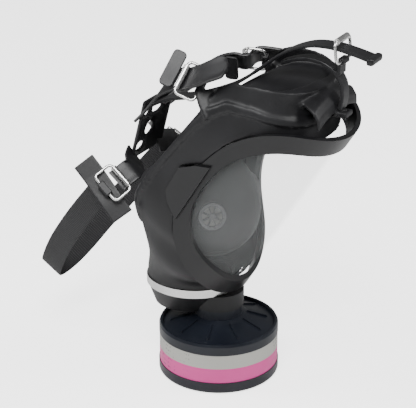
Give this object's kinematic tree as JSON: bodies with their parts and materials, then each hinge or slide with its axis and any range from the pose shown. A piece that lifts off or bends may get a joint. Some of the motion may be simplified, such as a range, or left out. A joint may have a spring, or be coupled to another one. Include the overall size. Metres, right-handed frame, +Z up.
{
  "type": "full face respirator",
  "caption": "Full face respirator: rubber facepiece with curved visor, roller-buckle head harness, neck strap, valves and nose cup, on a screw-on filter canister",
  "frame": {"origin": "centre of the flat base of the canister, which the respirator stands on", "axes": "+Z up through the canister's axis, -Y the way the visor faces, X across the face, symmetric about X = 0 except for the temple buckles"},
  "size_m": [0.1557, 0.3282, 0.3351],
  "materials": {
    "facepiece_rubber": "moulded matt black rubber",
    "visor": "clear polycarbonate",
    "frame_plastic": "satin black moulded",
    "housing_plastic": "black moulded",
    "steel": "brushed stainless steel",
    "screw_steel": "bright zinc",
    "valve_plastic": "moulded",
    "valve_rubber": "thin silicone",
    "cup_rubber": "soft moulded rubber",
    "canister_plastic": "satin blue-black",
    "band_pink": "printed label",
    "band_gray": "printed label",
    "filter_paper": "pleated filter paper",
    "carbon": "granular carbon",
    "screen_steel": "fine mesh",
    "gasket_rubber": "moulded",
    "strap_rubber": "satin rubber",
    "pad_rubber": "matt rubber",
    "webbing": "ribbed webbing"
  },
  "bodies": {
    "facepiece": {"face_blank": "facepiece_rubber", "visor_lens": "visor", "upper_lens_frame": "frame_plastic", "lower_lens_frame": "frame_plastic", "frame_screws": "screw_steel", "frame_nuts": "screw_steel", "chin_housing": "housing_plastic", "clamp_band": "steel", "worm_housing": "steel", "exhalation_seat": "valve_plastic", "exhalation_cover": "valve_plastic", "inlet_seat": "valve_plastic", "nose_cup": "cup_rubber", "cup_valve_seat_right": "valve_plastic", "cup_valve_seat_left": "valve_plastic", "head_pad": "pad_rubber", "forehead_strap": "strap_rubber", "lug_strap": "strap_rubber", "neck_strap": "webbing", "temple_strap_right": "strap_rubber", "temple_strap_left": "strap_rubber", "temple_tab_right": "strap_rubber", "temple_tab_left": "strap_rubber", "jaw_strap_right": "strap_rubber", "jaw_strap_left": "strap_rubber", "jaw_tab_right": "strap_rubber", "jaw_tab_left": "strap_rubber"},
    "band_screw": {"worm_screw": "steel"},
    "exhalation_valve": {"exhalation_disc": "valve_rubber"},
    "inlet_valve": {"inlet_flap": "valve_rubber"},
    "cup_valve_right": {"cup_valve_flap_right": "valve_rubber"},
    "cup_valve_left": {"cup_valve_flap_left": "valve_rubber"},
    "gasket": {"filter_gasket": "gasket_rubber"},
    "canister": {"canister_base": "canister_plastic", "canister_body": "canister_plastic", "canister_lid": "canister_plastic", "label_band_pink": "band_pink", "label_band_gray": "band_gray", "particulate_filter": "filter_paper", "carbon_bed": "carbon", "retaining_screens": "screen_steel"},
    "forehead_buckle": {"buckle_forehead": "steel", "forehead_strap_tail": "strap_rubber"},
    "forehead_roller": {"roller_forehead": "steel"},
    "temple_right_buckle": {"buckle_temple_right": "steel", "temple_strap_tail_right": "strap_rubber"},
    "temple_right_roller": {"roller_temple_right": "steel"},
    "temple_left_buckle": {"buckle_temple_left": "steel", "temple_strap_tail_left": "strap_rubber"},
    "temple_left_roller": {"roller_temple_left": "steel"},
    "jaw_right_buckle": {"buckle_jaw_right": "steel", "jaw_strap_end_right": "strap_rubber"},
    "jaw_right_roller": {"roller_jaw_right": "steel"},
    "jaw_left_buckle": {"buckle_jaw_left": "steel", "jaw_strap_end_left": "strap_rubber"},
    "jaw_left_roller": {"roller_jaw_left": "steel"}
  },
  "joints": [
    {"name": "canister_advance", "type": "slide", "parent": "facepiece", "child": "gasket", "axis": [0, 0, -1], "range_m": [0, 0.0128]},
    {"name": "canister_turn", "type": "hinge", "parent": "gasket", "child": "canister", "pos_m": [0, 0, 0.07], "axis": [0, 0, -1], "range_deg": [0, 1260]},
    {"name": "band_screw_turn", "type": "hinge", "parent": "facepiece", "child": "band_screw", "pos_m": [0.04225, 0.028, 0.085], "axis": [0, 1, 0], "continuous": true},
    {"name": "exhalation_lift", "type": "slide", "parent": "facepiece", "child": "exhalation_valve", "axis": [0, 0, -1], "range_m": [0, 0.002], "stiffness_N_per_m": 60, "springref_m": -0.001},
    {"name": "inlet_lift", "type": "slide", "parent": "facepiece", "child": "inlet_valve", "axis": [0, 0, 1], "range_m": [0, 0.0012], "stiffness_N_per_m": 20},
    {"name": "cup_lift_right", "type": "slide", "parent": "facepiece", "child": "cup_valve_right", "axis": [0.7924, 0.5943, -0.1372], "range_m": [0, 0.0012], "stiffness_N_per_m": 40, "springref_m": -0.0005},
    {"name": "cup_lift_left", "type": "slide", "parent": "facepiece", "child": "cup_valve_left", "axis": [-0.7924, 0.5943, -0.1372], "range_m": [0, 0.0012], "stiffness_N_per_m": 40, "springref_m": -0.0005},
    {"name": "forehead_tilt", "type": "hinge", "parent": "facepiece", "child": "forehead_buckle", "pos_m": [0, -0.1155, 0.3145], "axis": [1, 0, 0], "range_deg": [-2, 6]},
    {"name": "forehead_roll", "type": "hinge", "parent": "forehead_buckle", "child": "forehead_roller", "pos_m": [0, -0.11333, 0.33237], "axis": [1, 0, 0], "continuous": true},
    {"name": "temple_right_tilt", "type": "hinge", "parent": "facepiece", "child": "temple_right_buckle", "pos_m": [-0.057, -0.0128, 0.2924], "axis": [0.6871, -0.134, 0.7141], "range_deg": [-6, 4]},
    {"name": "temple_right_roll", "type": "hinge", "parent": "temple_right_buckle", "child": "temple_right_roller", "pos_m": [-0.06097, 0.00337, 0.29925], "axis": [0.6871, -0.134, 0.7141], "continuous": true},
    {"name": "temple_left_tilt", "type": "hinge", "parent": "facepiece", "child": "temple_left_buckle", "pos_m": [0.061, -0.014, 0.281], "axis": [0.5486, 0.2494, -0.798], "range_deg": [-6, 2]},
    {"name": "temple_left_roll", "type": "hinge", "parent": "temple_left_buckle", "child": "temple_left_roller", "pos_m": [0.0556, 0.00309, 0.28263], "axis": [0.5486, 0.2494, -0.798], "continuous": true},
    {"name": "jaw_right_tilt", "type": "hinge", "parent": "facepiece", "child": "jaw_right_buckle", "pos_m": [-0.068, 0.0765, 0.187], "axis": [-0.1697, -0.8184, -0.549], "range_deg": [-4, 6]},
    {"name": "jaw_right_roll", "type": "hinge", "parent": "jaw_right_buckle", "child": "jaw_right_roller", "pos_m": [-0.05513, 0.06776, 0.19605], "axis": [-0.1697, -0.8184, -0.549], "continuous": true},
    {"name": "jaw_left_tilt", "type": "hinge", "parent": "facepiece", "child": "jaw_left_buckle", "pos_m": [0.068, 0.0765, 0.187], "axis": [-0.1697, 0.8184, 0.549], "range_deg": [-4, 6]},
    {"name": "jaw_left_roll", "type": "hinge", "parent": "jaw_left_buckle", "child": "jaw_left_roller", "pos_m": [0.05513, 0.06776, 0.19605], "axis": [-0.1697, 0.8184, 0.549], "continuous": true}
  ],
  "couplings": [
    {"joint": "canister_advance", "follows": "canister_turn", "m_per_rad": 0.00057757}
  ]
}
